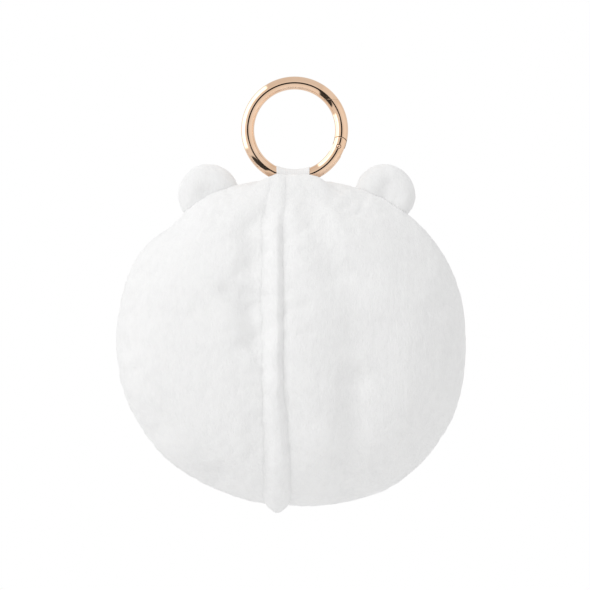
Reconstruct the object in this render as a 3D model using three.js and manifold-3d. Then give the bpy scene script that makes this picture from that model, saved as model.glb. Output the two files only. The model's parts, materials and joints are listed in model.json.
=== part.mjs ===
// Plush animal-head keychain on a spring-gate ring. Millimetres, +Z up.
// The origin is the centre of the ring's eye. The sewn ridge faces -Y and the face looks along +Y.

import * as THREE from 'three';
import { mergeVertices } from 'three/addons/utils/BufferGeometryUtils.js';
import Module from 'manifold-3d';

const wasm = await Module();
wasm.setup();

// ---------------------------------------------------------------- driving dimensions

const GAP = 0.3;                 // room between pieces that touch on the sewn object
const METAL_GAP = 0.2;           // room between the ring's metal pieces

const EYE_RADIUS = 12.5;         // ring: clear radius inside
const WIRE_RADIUS = 2;
const RING_RADIUS = EYE_RADIUS + WIRE_RADIUS;
const HINGE_ANGLE = THREE.MathUtils.degToRad(-20.7);
const LATCH_ANGLE = THREE.MathUtils.degToRad(40);

const BODY = { halfWidth: 54, halfHeight: 50.3, halfDepth: 24, outline: 2.2, profile: 2.1 };
const BODY_CENTRE = new THREE.Vector3(-1.1, 0, -65.7);
const FABRIC = 1.2;              // plush backing with its pile pressed down
const SEAM_OPENING = 0.9;        // between the front and back panels, where the thread runs
const THREAD_RADIUS = 0.2;

const RIDGE_X = -5.6;            // from the body's centre
const RIDGE_RADIUS = 2.4;
const RIDGE_LIFT = 0.6;          // its middle above the panels' surface
const CORD_RADIUS = 1.1;

const EAR = { halfWidth: 9.6, halfHeight: 9.6, halfDepth: 4.6, outline: 2, profile: 2 };
const EAR_CENTRES = { left: new THREE.Vector3(-26.2, 0, -19.5), right: new THREE.Vector3(27.7, 0, -19.5) };
const EAR_FABRIC = 1;

const TAB = { x: -0.5, width: 10, cloth: 0.7, legHalf: 0.8, legReach: 3.25, rootLength: 8 };
const VALLEY_RADIUS = 3.6;       // room in the top seam for the tab's loop to turn
const VALLEY_LENGTH = 18;

const EYE = { x: 15, z: 5, radius: 4, height: 3, shank: 1.2, shankLength: 7, washer: 5, washerDepth: 1 };
const NOSE = { z: -5, halfWidth: 4.6, halfHeight: 3.1, halfDepth: 1 };
const MOUTH = { drop: 5, halfWidth: 4.5, sag: 1.8, radius: 0.45 };

const FAR = 200;                 // longer than anything here, for cutting blocks

// ---------------------------------------------------------------- materials

const finish = (color, roughness, metalness = 0) =>
  new THREE.MeshStandardMaterial({ color, roughness, metalness });

const MATERIALS = {
  plush: finish(0xf3f3f1, 1),
  tabCloth: finish(0xe9e8e6, 0.95),
  filling: finish(0xfafafa, 1),
  thread: finish(0xeeeeec, 0.8),
  cord: finish(0xe4e2dc, 0.9),
  ringMetal: finish(0xd8a77f, 0.15, 1),
  springSteel: finish(0xb9bbbd, 0.3, 1),
  blackPlastic: finish(0x0d0d0e, 0.12),
  washerPlastic: finish(0xd9d9d4, 0.5),
  embroidery: finish(0x4b3a34, 0.6),
};

// ---------------------------------------------------------------- solids

/** A closed three.js geometry as a solid that can be cut and joined. */
function solidOf(geometry) {
  const bare = geometry.clone();
  bare.deleteAttribute('normal');
  bare.deleteAttribute('uv');
  const welded = mergeVertices(bare, 1e-4);
  return new wasm.Manifold(new wasm.Mesh({
    numProp: 3,
    vertProperties: new Float32Array(welded.attributes.position.array),
    triVerts: new Uint32Array(welded.index.array),
  }));
}

/** A solid back as a geometry. */
function geometryOf(solid) {
  const { vertProperties, triVerts } = solid.getMesh();
  const geometry = new THREE.BufferGeometry();
  geometry.setAttribute('position', new THREE.BufferAttribute(vertProperties, 3));
  geometry.setIndex(new THREE.BufferAttribute(triVerts, 1));
  geometry.computeVertexNormals();
  return geometry;
}

/** Solid box between two corners. */
function block([x0, y0, z0], [x1, y1, z1]) {
  const geometry = new THREE.BoxGeometry(x1 - x0, y1 - y0, z1 - z0);
  return solidOf(geometry.translate((x0 + x1) / 2, (y0 + y1) / 2, (z0 + z1) / 2));
}

/** Solid round bar along Y. */
function barAlongY(radius, length, x, z, sides = 24) {
  return solidOf(new THREE.CylinderGeometry(radius, radius, length, sides).translate(x, 0, z));
}

/** Solid round bar along X. */
function barAlongX(radius, length, x, z) {
  const geometry = new THREE.CylinderGeometry(radius, radius, length, 20).rotateZ(Math.PI / 2);
  return solidOf(geometry.translate(x, 0, z));
}

/** Round bar along a curve, with a bore if boreRadius is given. Its sides are an even number. */
function barAlong(curve, radius, { sides = 10, steps = 12, boreRadius = 0 } = {}) {
  const section = new THREE.Shape().absarc(0, 0, radius, 0, 2 * Math.PI);
  if (boreRadius > 0) {
    section.holes.push(new THREE.Path().absarc(0, 0, boreRadius, 0, 2 * Math.PI));
  }
  return new THREE.ExtrudeGeometry(section, { extrudePath: curve, steps, curveSegments: sides / 2 });
}

// ---------------------------------------------------------------- pillow shapes

/** How far out a point lies in a pillow shape: 1 on its surface. */
function pillowGauge(shape, inset, x, y, z) {
  const across = Math.abs(x) / (shape.halfWidth - inset);
  const up = Math.abs(z) / (shape.halfHeight - inset);
  const outward = (across ** shape.outline + up ** shape.outline) ** (1 / shape.outline);
  const deep = Math.abs(y) / (shape.halfDepth - inset);
  return (outward ** shape.profile + deep ** shape.profile) ** (1 / shape.profile);
}

/** Solid pillow shape with its surface moved in by inset. */
function pillow(shape, centre, inset, around, up) {
  const geometry = new THREE.SphereGeometry(1, around, up);
  const places = geometry.attributes.position;
  const point = new THREE.Vector3();
  for (let i = 0; i < places.count; i += 1) {
    point.fromBufferAttribute(places, i);
    point.divideScalar(pillowGauge(shape, inset, point.x, point.y, point.z)).add(centre);
    places.setXYZ(i, point.x, point.y, point.z);
  }
  return solidOf(geometry);
}

/** Depth of the body's surface at a place given from the body's centre. */
function bodyDepth(x, z, inset = 0) {
  const outward = pillowGauge(BODY, inset, x, 0, z);
  return (BODY.halfDepth - inset) * Math.max(0, 1 - outward ** BODY.profile) ** (1 / BODY.profile);
}

/** Height of the body's outline at x, given from the body's centre. */
function outlineHeight(x, inset = 0) {
  const across = Math.abs(x) / (BODY.halfWidth - inset);
  return (BODY.halfHeight - inset) * (1 - across ** BODY.outline) ** (1 / BODY.outline);
}

const bodyPillow = (inset) => pillow(BODY, BODY_CENTRE, inset, 36, 14);
const earPillow = (centre, inset) => pillow(EAR, centre, inset, 18, 8);

const HALVES = {
  front: block([-FAR, SEAM_OPENING / 2, -FAR], [FAR, FAR, FAR]),
  back: block([-FAR, -FAR, -FAR], [FAR, -SEAM_OPENING / 2, FAR]),
};

// ---------------------------------------------------------------- the ridge's line

/** Middle line of the ridge: down the back from the tab to a nub below the bottom edge. */
function ridgeCurve() {
  const top = THREE.MathUtils.degToRad(74);
  const bottom = THREE.MathUtils.degToRad(-80);
  const reach = outlineHeight(RIDGE_X, -RIDGE_LIFT);
  const points = [];
  const count = 16;
  for (let i = 0; i <= count; i += 1) {
    const z = reach * Math.sin(THREE.MathUtils.lerp(top, bottom, i / count));
    points.push(new THREE.Vector3(RIDGE_X, -bodyDepth(RIDGE_X, z, -RIDGE_LIFT), z).add(BODY_CENTRE));
  }
  const nub = new THREE.Vector3(RIDGE_X, -RIDGE_RADIUS - GAP, -BODY.halfHeight - 2).add(BODY_CENTRE);
  points.push(nub);
  return new THREE.CatmullRomCurve3(points);
}

const RIDGE_CURVE = ridgeCurve();
const RIDGE_STEPS = 26;

const ridgeRoom = solidOf(barAlong(RIDGE_CURVE, RIDGE_RADIUS + GAP, { steps: RIDGE_STEPS }));
const valley = barAlongX(VALLEY_RADIUS, VALLEY_LENGTH, TAB.x, -RING_RADIUS);

// ---------------------------------------------------------------- face pieces' places

/** Frame on the front panel: local +Y is the outward direction, local Z is up. */
function faceFrame(x, z) {
  const step = 0.5;
  const slopeX = (bodyDepth(x + step, z) - bodyDepth(x - step, z)) / (2 * step);
  const slopeZ = (bodyDepth(x, z + step) - bodyDepth(x, z - step)) / (2 * step);
  const outward = new THREE.Vector3(-slopeX, 1, -slopeZ).normalize();
  const turn = new THREE.Quaternion().setFromUnitVectors(new THREE.Vector3(0, 1, 0), outward);
  const place = new THREE.Vector3(x, bodyDepth(x, z), z).add(BODY_CENTRE);
  return new THREE.Matrix4().compose(place, turn, new THREE.Vector3(1, 1, 1));
}

const EYE_FRAMES = { left: faceFrame(-EYE.x, EYE.z), right: faceFrame(EYE.x, EYE.z) };

/** Round room along a face frame's outward direction, from depth `from` to depth `to` below it. */
function roomAt(frame, radius, from, to) {
  const geometry = new THREE.CylinderGeometry(radius, radius, to - from, 20);
  return solidOf(geometry.translate(0, -(from + to) / 2, 0).applyMatrix4(frame));
}

const WASHER_TOP = FABRIC + GAP;
const shankRooms = Object.values(EYE_FRAMES)
  .map((frame) => roomAt(frame, EYE.shank + GAP, -EYE.height, EYE.shankLength + GAP));
const washerRooms = Object.values(EYE_FRAMES)
  .map((frame) => roomAt(frame, EYE.washer + GAP, WASHER_TOP - GAP, WASHER_TOP + EYE.washerDepth + GAP));

const without = (solid, cutters) => cutters.reduce((rest, cutter) => rest.subtract(cutter), solid);

// ---------------------------------------------------------------- body

function bodyShell() {
  return without(bodyPillow(0), [bodyPillow(FABRIC), valley]);
}

function frontPanel() {
  return without(bodyShell().intersect(HALVES.front), shankRooms);
}

function backPanel(side) {
  const seamX = BODY_CENTRE.x + RIDGE_X;
  const half = side < 0
    ? block([-FAR, -FAR, -FAR], [seamX - GAP, FAR, FAR])
    : block([seamX + GAP, -FAR, -FAR], [FAR, FAR, FAR]);
  return bodyShell().intersect(HALVES.back).intersect(half).subtract(ridgeRoom);
}

function bodyFilling() {
  const tabRoom = tabRootBlock(GAP);
  return without(bodyPillow(FABRIC + GAP), [valley, ridgeRoom, tabRoom, ...shankRooms, ...washerRooms]);
}

/** Thread that runs in the seam between the front and back panels. */
function edgeThread() {
  const geometry = new THREE.TorusGeometry(BODY.halfHeight, THREAD_RADIUS, 6, 56).rotateX(Math.PI / 2);
  const places = geometry.attributes.position;
  const inset = FABRIC / 2;
  const point = new THREE.Vector3();
  for (let i = 0; i < places.count; i += 1) {
    point.fromBufferAttribute(places, i);
    const run = Math.hypot(point.x, point.z);
    const outline = run / pillowGauge(BODY, inset, point.x, 0, point.z);
    const place = outline + run - BODY.halfHeight;
    point.set(point.x / run * place, point.y, point.z / run * place).add(BODY_CENTRE);
    places.setXYZ(i, point.x, point.y, point.z);
  }
  return solidOf(geometry).subtract(valley);
}

// ---------------------------------------------------------------- ears

const bodyRoom = bodyPillow(-GAP);

function earPanel(side, half) {
  const centre = EAR_CENTRES[side];
  const shell = earPillow(centre, 0).subtract(earPillow(centre, EAR_FABRIC));
  return shell.intersect(HALVES[half]).subtract(bodyRoom);
}

function earFilling(side) {
  return earPillow(EAR_CENTRES[side], EAR_FABRIC + GAP).subtract(bodyRoom);
}

// ---------------------------------------------------------------- tab

/** The ring's wire as a full ring of the given thickness. */
function wireRing(radius, sides = 10, around = 48) {
  return solidOf(new THREE.TorusGeometry(RING_RADIUS, radius, sides, around).rotateX(Math.PI / 2));
}

/** The cloth loop round the ring's wire, with the tops of its two legs. */
function tabLoop() {
  const inner = WIRE_RADIUS + METAL_GAP;
  const half = TAB.width / 2;
  const across = block([TAB.x - half, -FAR, -FAR], [TAB.x + half, FAR, 0]);
  const legs = block(
    [TAB.x - half, -TAB.legHalf, -RING_RADIUS - TAB.legReach],
    [TAB.x + half, TAB.legHalf, -RING_RADIUS - inner],
  );
  return wireRing(inner + TAB.cloth).intersect(across).add(legs).subtract(wireRing(inner));
}

/** The tab's sewn-in end, below the loop's turning room. */
function tabRootBlock(room = 0) {
  const half = TAB.width / 2 + room;
  const top = -RING_RADIUS - VALLEY_RADIUS;
  return block(
    [TAB.x - half, -TAB.legHalf - room, top - TAB.rootLength - room],
    [TAB.x + half, TAB.legHalf + room, top + room],
  );
}

// ---------------------------------------------------------------- ring

const HINGE = {
  x: RING_RADIUS * Math.cos(HINGE_ANGLE),
  z: RING_RADIUS * Math.sin(HINGE_ANGLE),
  cheek: 2.4,                    // radius of the two cheeks' round ends
  tongue: 1.8,                   // radius of the gate's eye between them
  tongueHalf: 0.6,               // half the tongue's thickness
  pin: 0.6,
  pinHalf: 1.85,
};
const LATCH_Z = RING_RADIUS * Math.sin(LATCH_ANGLE);
const SPRING = { start: 2, end: 5.9, coil: 0.6, wire: 0.15, turns: 5, pocket: 0.95 };

/** The stretch of the wire that opens: from the hinge's radius up to a level cut. */
function gateSector(level) {
  const [inside, outside] = [0.8 * EYE_RADIUS, 1.6 * EYE_RADIUS];
  const corner = (radius) => [radius * Math.cos(HINGE_ANGLE), radius * Math.sin(HINGE_ANGLE)];
  const outline = new THREE.Shape([
    new THREE.Vector2(...corner(inside)),
    new THREE.Vector2(...corner(outside)),
    new THREE.Vector2(outside, level),
    new THREE.Vector2(EYE_RADIUS / 2, level),
  ]);
  const depth = 4 * WIRE_RADIUS;
  const geometry = new THREE.ExtrudeGeometry(outline, { depth, bevelEnabled: false });
  return solidOf(geometry.translate(0, 0, -depth / 2).rotateX(Math.PI / 2));
}

const slab = (half) => block([-FAR, -half, -FAR], [FAR, half, FAR]);
const hingeBar = (radius) => barAlongY(radius, 6 * WIRE_RADIUS, HINGE.x, HINGE.z);

/** Place on the wire's middle line, at a distance along it from the hinge and away from the gate. */
function wirePoint(distance) {
  const angle = HINGE_ANGLE - distance / RING_RADIUS;
  return new THREE.Vector3(RING_RADIUS * Math.cos(angle), 0, RING_RADIUS * Math.sin(angle));
}

const SPRING_LINE = new THREE.LineCurve3(wirePoint(SPRING.start), wirePoint(SPRING.end));

function ringBody() {
  const wire = wireRing(WIRE_RADIUS);
  const slot = slab(HINGE.tongueHalf + METAL_GAP).intersect(hingeBar(HINGE.cheek + METAL_GAP));
  const pocketLine = new THREE.LineCurve3(wirePoint(SPRING.start), wirePoint(SPRING.end + METAL_GAP));
  const pocket = solidOf(barAlong(pocketLine, SPRING.pocket, { steps: 1 }));
  const cheeks = wire.intersect(hingeBar(HINGE.cheek));
  const fixed = wire.subtract(gateSector(LATCH_Z + METAL_GAP / 2)).add(cheeks);
  return without(fixed, [slot, pocket, hingeBar(HINGE.pin + METAL_GAP)]);
}

function ringGate() {
  const reach = wireRing(WIRE_RADIUS).intersect(gateSector(LATCH_Z - METAL_GAP / 2));
  const arm = reach.subtract(hingeBar(HINGE.cheek + METAL_GAP));
  const tongue = reach.add(hingeBar(HINGE.tongue)).intersect(slab(HINGE.tongueHalf));
  return arm.add(tongue).subtract(hingeBar(HINGE.pin + METAL_GAP));
}

function gatePin() {
  return barAlongY(HINGE.pin, 2 * HINGE.pinHalf, HINGE.x, HINGE.z, 16);
}

/** Coil of the gate's spring in its pocket, along the spring's line. */
class CoilCurve extends THREE.Curve {
  getPoint(t, target = new THREE.Vector3()) {
    const turn = 2 * Math.PI * SPRING.turns * t;
    const along = SPRING_LINE.getTangent(0);
    const side = new THREE.Vector3().crossVectors(along, new THREE.Vector3(0, 1, 0));
    const clear = SPRING.wire / SPRING_LINE.getLength();
    SPRING_LINE.getPoint(THREE.MathUtils.lerp(clear, 1 - clear, t), target);
    target.addScaledVector(side, SPRING.coil * Math.cos(turn));
    target.y += SPRING.coil * Math.sin(turn);
    return target;
  }
}

function gateSpring() {
  return barAlong(new CoilCurve(), SPRING.wire, { sides: 5, steps: 10 * SPRING.turns });
}

// ---------------------------------------------------------------- face

/** Domed button eye with the shank that goes through the panel. */
function eyeButton() {
  const points = [new THREE.Vector2(0, -EYE.shankLength), new THREE.Vector2(EYE.shank, -EYE.shankLength)];
  points.push(new THREE.Vector2(EYE.shank, GAP), new THREE.Vector2(EYE.radius, GAP));
  const rings = 4;
  for (let i = 1; i <= rings; i += 1) {
    const rise = (Math.PI / 2) * (i / rings);
    const run = i === rings ? 0 : EYE.radius * Math.cos(rise);
    points.push(new THREE.Vector2(run, GAP + EYE.height * Math.sin(rise)));
  }
  return new THREE.LatheGeometry(points, 16);
}

function eyeWasher() {
  const [inner, outer] = [EYE.shank + GAP, EYE.washer];
  const [top, bottom] = [-WASHER_TOP, -WASHER_TOP - EYE.washerDepth];
  const corners = [[inner, bottom], [outer, bottom], [outer, top], [inner, top], [inner, bottom]];
  return new THREE.LatheGeometry(corners.map(([x, y]) => new THREE.Vector2(x, y)), 16);
}

/** Satin-stitched nose: a low oval pad on the panel. */
function nosePad() {
  const geometry = new THREE.SphereGeometry(1, 18, 10);
  geometry.scale(NOSE.halfWidth, NOSE.halfDepth, NOSE.halfHeight);
  return geometry.translate(0, NOSE.halfDepth + GAP, 0);
}

/** Mouth stitch: two shallow curves that meet under the nose. */
function mouthStitch() {
  const lift = MOUTH.radius + GAP;
  const z = NOSE.z - MOUTH.drop;
  const half = MOUTH.halfWidth;
  const line = [[-half, 0], [-half / 2, -MOUTH.sag], [0, 0], [half / 2, -MOUTH.sag], [half, 0]];
  const points = line.map(([x, dz]) => (
    new THREE.Vector3(x, bodyDepth(x, z + dz) + lift, z + dz).add(BODY_CENTRE)));
  return barAlong(new THREE.CatmullRomCurve3(points), MOUTH.radius, { sides: 6, steps: 16 });
}

// ---------------------------------------------------------------- assembly

/** One named piece. */
function piece(name, shape, material) {
  const geometry = shape instanceof THREE.BufferGeometry ? shape : geometryOf(shape);
  const mesh = new THREE.Mesh(geometry, material);
  mesh.name = name;
  return mesh;
}

/** One named piece made in a local frame and placed by it. */
function placedPiece(name, shape, material, frame) {
  const mesh = piece(name, shape, material);
  mesh.applyMatrix4(frame);
  return mesh;
}

const body = new THREE.Group();
body.add(
  piece('front_panel', frontPanel(), MATERIALS.plush),
  piece('back_panel_left', backPanel(-1), MATERIALS.plush),
  piece('back_panel_right', backPanel(1), MATERIALS.plush),
  piece('body_filling', bodyFilling(), MATERIALS.filling),
  piece('edge_seam_thread', edgeThread(), MATERIALS.thread),
  piece('ridge_cover', barAlong(RIDGE_CURVE, RIDGE_RADIUS, {
    steps: RIDGE_STEPS,
    boreRadius: CORD_RADIUS + GAP,
  }), MATERIALS.plush),
  piece('ridge_cord', barAlong(RIDGE_CURVE, CORD_RADIUS, { sides: 8, steps: RIDGE_STEPS }), MATERIALS.cord),
  piece('tab_root', tabRootBlock(), MATERIALS.tabCloth),
);

for (const side of ['left', 'right']) {
  body.add(
    piece(`ear_front_${side}`, earPanel(side, 'front'), MATERIALS.plush),
    piece(`ear_back_${side}`, earPanel(side, 'back'), MATERIALS.plush),
    piece(`ear_filling_${side}`, earFilling(side), MATERIALS.filling),
    placedPiece(`eye_${side}`, eyeButton(), MATERIALS.blackPlastic, EYE_FRAMES[side]),
    placedPiece(`eye_washer_${side}`, eyeWasher(), MATERIALS.washerPlastic, EYE_FRAMES[side]),
  );
}

body.add(
  placedPiece('nose', nosePad(), MATERIALS.embroidery, faceFrame(0, NOSE.z)),
  piece('mouth_stitch', mouthStitch(), MATERIALS.embroidery),
);

const ring = new THREE.Group();
ring.add(
  piece('ring_body', ringBody(), MATERIALS.ringMetal),
  piece('ring_gate', ringGate(), MATERIALS.ringMetal),
  piece('gate_pin', gatePin(), MATERIALS.ringMetal),
  piece('gate_spring', gateSpring(), MATERIALS.springSteel),
);

const keychain = new THREE.Group();
keychain.add(body, piece('hanging_tab', tabLoop(), MATERIALS.tabCloth), ring);

export default keychain;
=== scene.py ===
"""Plush animal-head keychain: its looks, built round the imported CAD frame.

Metres, +Z up. The back of the head faces -Y, towards the camera, and the face +Y.
"""

import json
import math

import bmesh
import bpy
import numpy as np
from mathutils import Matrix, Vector
from mathutils.bvhtree import BVHTree


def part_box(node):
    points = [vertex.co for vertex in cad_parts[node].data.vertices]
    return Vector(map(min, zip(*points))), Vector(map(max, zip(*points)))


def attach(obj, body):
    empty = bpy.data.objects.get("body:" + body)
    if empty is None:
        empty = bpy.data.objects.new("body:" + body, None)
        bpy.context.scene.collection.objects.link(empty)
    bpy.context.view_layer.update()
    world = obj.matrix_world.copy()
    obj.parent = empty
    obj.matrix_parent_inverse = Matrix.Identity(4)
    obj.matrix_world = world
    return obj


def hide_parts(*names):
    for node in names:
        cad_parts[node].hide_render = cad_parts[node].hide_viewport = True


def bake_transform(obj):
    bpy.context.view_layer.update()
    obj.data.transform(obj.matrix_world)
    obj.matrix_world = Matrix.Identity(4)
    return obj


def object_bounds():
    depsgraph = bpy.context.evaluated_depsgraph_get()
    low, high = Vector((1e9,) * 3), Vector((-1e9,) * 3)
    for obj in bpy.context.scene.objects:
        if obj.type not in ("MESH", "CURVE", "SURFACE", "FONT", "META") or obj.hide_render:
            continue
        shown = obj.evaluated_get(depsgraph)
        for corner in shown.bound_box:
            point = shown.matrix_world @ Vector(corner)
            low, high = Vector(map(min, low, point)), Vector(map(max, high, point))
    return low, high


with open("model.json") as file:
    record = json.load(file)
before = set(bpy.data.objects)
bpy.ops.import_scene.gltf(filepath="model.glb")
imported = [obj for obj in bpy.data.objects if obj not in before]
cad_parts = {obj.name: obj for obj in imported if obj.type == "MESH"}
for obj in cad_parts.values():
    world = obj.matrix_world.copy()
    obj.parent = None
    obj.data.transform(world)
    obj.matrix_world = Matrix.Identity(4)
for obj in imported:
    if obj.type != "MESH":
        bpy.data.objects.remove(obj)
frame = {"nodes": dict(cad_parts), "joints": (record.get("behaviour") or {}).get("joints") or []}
CAD_LOW, CAD_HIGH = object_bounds()

# ---------------------------------------------------------------- sizes

MM = 0.001
JOINTS = {joint["name"]: joint for joint in frame["joints"]}

WIRE_RADIUS = 2 * MM
RING_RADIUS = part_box("ring_body")[1].z - WIRE_RADIUS    # to the middle of the wire
WIRE_BOTTOM = -RING_RADIUS       # the height of the wire's middle in the tab's loop
HINGE = Vector(JOINTS["gate_open"]["pos_m"])
TAB_LOW, TAB_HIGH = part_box("hanging_tab")
TAB_X = (TAB_LOW.x + TAB_HIGH.x) / 2
TAB_WIDTH = TAB_HIGH.x - TAB_LOW.x + 0.1 * MM           # the woven edges stand a little proud

PANEL_LOW, PANEL_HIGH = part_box("front_panel")
HALF_WIDTH = (PANEL_HIGH.x - PANEL_LOW.x) / 2
HALF_HEIGHT = 50.3 * MM          # without the humps beside the tab
HALF_DEPTH = PANEL_HIGH.y
BODY_CENTRE = Vector(((PANEL_LOW.x + PANEL_HIGH.x) / 2, 0, PANEL_LOW.z + HALF_HEIGHT))
OUTLINE_POWER = 2.2              # how square the outline is: 2 is an ellipse
PROFILE_POWER = 2.1              # the same for the thickness

RIDGE_LOW, RIDGE_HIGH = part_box("ridge_cover")
RIDGE_X = (RIDGE_LOW.x + RIDGE_HIGH.x) / 2
CLOTH = 1.2 * MM                 # the thickness of the body's cloth with its pile

# ---------------------------------------------------------------- noise and shaping functions


def full_turn(sides):
    """Angles evenly spaced round a circle."""
    return np.linspace(0, 2 * math.pi, sides, endpoint=False)


def lattice(cells, seed):
    """A repeatable random value from -1 to 1 for each cell: a hash of its whole numbers by large primes."""
    cells = cells.astype(np.int64)
    key = cells[:, 0] * 73856093 ^ cells[:, 1] * 19349663 ^ cells[:, 2] * 83492791 ^ seed * 2654435761
    key = (key ^ (key >> 13)) * 1274126177 & 0xFFFFFFFF
    key = (key ^ (key >> 16)) * 2246822519 & 0xFFFFFFFF
    return key / 0x7FFFFFFF - 1


def noise(points, wavelength, seed):
    """Smooth noise from about -1 to 1. wavelength is one length, or one for each of X, Y and Z."""
    scaled = points / (np.array(wavelength) * np.ones(3))
    cell = np.floor(scaled)
    part = scaled - cell
    part = part * part * (3 - 2 * part)
    total = np.zeros(len(points))
    for corner in np.ndindex(2, 2, 2):
        corner = np.array(corner)
        weight = np.prod(np.where(corner == 1, part, 1 - part), axis=1)
        total += weight * lattice(cell + corner, seed)
    return total


def hill(distance, width):
    """1 at no distance, and falling smoothly to nothing over about two widths."""
    return np.exp(-((distance / width) ** 2))


def smooth_step(value, low, high):
    """0 below low, 1 above high and smooth between them."""
    share = np.clip((value - low) / (high - low), 0, 1)
    return share * share * (3 - 2 * share)


# ---------------------------------------------------------------- mesh helpers


def box_middle(node):
    """The middle of a CAD node's box."""
    low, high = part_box(node)
    return (low + high) / 2


def coordinates(mesh):
    """A mesh's vertices as an array."""
    places = np.empty(len(mesh.vertices) * 3)
    mesh.vertices.foreach_get("co", places)
    return places.reshape(-1, 3)


def vertex_normals(mesh):
    """A mesh's vertex normals as an array."""
    normals = np.empty(len(mesh.vertices) * 3)
    mesh.vertex_normals.foreach_get("vector", normals)
    return normals.reshape(-1, 3)


def set_coordinates(mesh, places):
    """Moves a mesh's vertices to new places."""
    mesh.vertices.foreach_set("co", places.ravel())
    mesh.update()


def push_out(mesh, distances):
    """Moves a mesh's vertices out along its normals."""
    set_coordinates(mesh, coordinates(mesh) + vertex_normals(mesh) * distances[:, None])


def add_object(name, mesh, mat):
    """A new object in the scene, smoothly shaded, with one material."""
    thing = bpy.data.objects.new(name, mesh)
    bpy.context.scene.collection.objects.link(thing)
    mesh.shade_smooth()
    mesh.materials.clear()
    mesh.materials.append(mat)
    return thing


def mesh_from(name, vertices, faces):
    """A mesh from arrays, its faces pointing out."""
    mesh = bpy.data.meshes.new(name)
    mesh.from_pydata([tuple(v) for v in vertices], [], [tuple(int(i) for i in f) for f in faces])
    mesh.validate()
    work = bmesh.new()
    work.from_mesh(mesh)
    bmesh.ops.recalc_face_normals(work, faces=work.faces)
    work.to_mesh(mesh)
    work.free()
    return mesh


def applied(thing):
    """A copy of an object's mesh with its modifiers applied."""
    bpy.context.view_layer.update()
    graph = bpy.context.evaluated_depsgraph_get()
    return bpy.data.meshes.new_from_object(thing.evaluated_get(graph), depsgraph=graph)


def with_modifier(mesh, kind, **settings):
    """A mesh run through one modifier."""
    thing = bpy.data.objects.new("working", mesh)
    bpy.context.scene.collection.objects.link(thing)
    modifier = thing.modifiers.new(kind, kind)
    for name, value in settings.items():
        setattr(modifier, name, value)
    result = applied(thing)
    bpy.data.objects.remove(thing)
    return result


def subdivided(mesh, levels=1):
    """A mesh with its faces divided and smoothed."""
    return with_modifier(mesh, "SUBSURF", levels=levels, render_levels=levels)


def solidified(mesh, thickness):
    """A sheet given thickness on its inner side."""
    return with_modifier(mesh, "SOLIDIFY", thickness=thickness, offset=-1, use_quality_normals=True)


def remeshed(mesh, voxel):
    """A closed mesh made anew from voxels of the given size."""
    return with_modifier(mesh, "REMESH", mode="VOXEL", voxel_size=voxel)


def grid_faces(rows, columns, wrap, closed=False):
    """Quads over a grid of vertices: wrap closes them round its columns, and closed round its rows."""
    faces = []
    for row in range(rows if closed else rows - 1):
        below = (row + 1) % rows
        for column in range(columns if wrap else columns - 1):
            after = (column + 1) % columns
            faces.append((row * columns + column, row * columns + after,
                          below * columns + after, below * columns + column))
    return faces


def tube(name, sections):
    """A closed tube through rings of points: an array of rings by points by 3, with capped ends."""
    rows, columns, _ = sections.shape
    faces = grid_faces(rows, columns, wrap=True)
    faces.append(range(columns))
    faces.append(range((rows - 1) * columns, rows * columns))
    return mesh_from(name, sections.reshape(-1, 3), faces)


# ---------------------------------------------------------------- materials


def make_material(name, **inputs):
    """A Principled material, and its node tree and shader."""
    mat = bpy.data.materials.new(name)
    mat.use_nodes = True
    shader = mat.node_tree.nodes["Principled BSDF"]
    for socket, value in inputs.items():
        shader.inputs[socket.replace("_", " ")].default_value = value
    return mat, mat.node_tree, shader


def add_node(tree, kind, links=(), **settings):
    """A node with its settings, and links to its inputs as (input, output socket) pairs."""
    node = tree.nodes.new(kind)
    for name, value in settings.items():
        if name in node.inputs.keys():
            node.inputs[name].default_value = value
        else:
            setattr(node, name, value)
    for socket, source in links:
        tree.links.new(source, node.inputs[socket])
    return node


def calculate(tree, operation, *values):
    """The result of a Math node whose inputs are sockets or plain numbers."""
    node = add_node(tree, "ShaderNodeMath", operation=operation)
    for socket, value in zip(node.inputs, values):
        if isinstance(value, bpy.types.NodeSocket):
            tree.links.new(value, socket)
        else:
            socket.default_value = value
    return node.outputs[0]


def smooth_share(tree, value, low, high, falling=False):
    """0 below low, 1 above high and smooth between them, or from 1 down to 0 if falling."""
    ends = {"From Min": low, "From Max": high, "To Min": int(falling), "To Max": int(not falling)}
    node = add_node(tree, "ShaderNodeMapRange", [("Value", value)], interpolation_type="SMOOTHSTEP", **ends)
    return node.outputs["Result"]


def object_place(tree, stretch=(1, 1, 1)):
    """The place on the piece in metres, stretched along the axes."""
    place = add_node(tree, "ShaderNodeTexCoord").outputs["Object"]
    mapping = add_node(tree, "ShaderNodeMapping", [("Vector", place)])
    mapping.inputs["Scale"].default_value = stretch
    return mapping.outputs["Vector"]


def noise_value(tree, place, wavelength, detail=2.0):
    """A noise texture with features of about the given size."""
    node = add_node(tree, "ShaderNodeTexNoise", [("Vector", place)], Scale=1 / wavelength, Detail=detail)
    return node.outputs["Fac"]


def ramp(tree, value, stops):
    """Colours over a value from 0 to 1: stops are (place, colour) pairs."""
    node = add_node(tree, "ShaderNodeValToRGB", [("Fac", value)])
    elements = node.color_ramp.elements
    for index, (place, colour) in enumerate(stops):
        element = elements[index] if index < len(elements) else elements.new(place)
        element.position = place
        element.color = (*colour, 1)
    return node.outputs["Color"]


def add_bump(tree, shader, layers):
    """Bump from several heights: layers are (height socket, depth in metres) pairs."""
    normal = None
    for height, depth in layers:
        links = [("Height", height)]
        if normal is not None:
            links.append(("Normal", normal))
        node = add_node(tree, "ShaderNodeBump", links, Strength=1.0, Distance=depth)
        normal = node.outputs["Normal"]
    tree.links.new(normal, shader.inputs["Normal"])


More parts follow.
